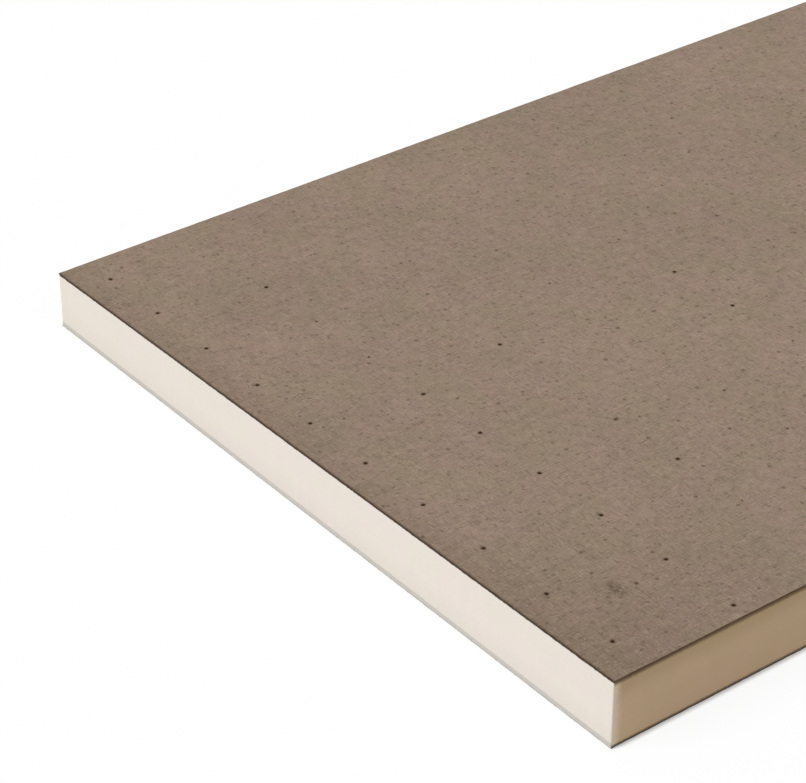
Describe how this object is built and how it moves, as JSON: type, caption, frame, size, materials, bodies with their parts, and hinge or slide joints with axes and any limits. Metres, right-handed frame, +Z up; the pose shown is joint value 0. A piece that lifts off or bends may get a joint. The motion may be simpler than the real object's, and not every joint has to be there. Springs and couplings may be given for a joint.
{
  "type": "tapered roof insulation board",
  "caption": "Flat rectangular foam board whose thickness tapers evenly from one long edge to the other, with a felt facer on each side and fine perforations in the sloped one.",
  "frame": {"origin": "centre of the flat bottom face, on the surface the board lies on", "axes": "+X up the taper, to the thick edge; +Y along the length, parallel to the level edges; +Z up, out of the sloped face's side"},
  "size_m": [1.2192, 2.4384, 0.1016],
  "materials": {
    "bottom_felt": "matte grey glass-fibre reinforced felt",
    "foam": "sawn cream polyisocyanurate foam, fine closed cells",
    "top_felt": "matte grey-brown glass-fibre reinforced felt"
  },
  "bodies": {
    "root": {"bottom_facer": "bottom_felt", "foam_core": "foam", "top_facer": "top_felt"}
  },
  "joints": []
}
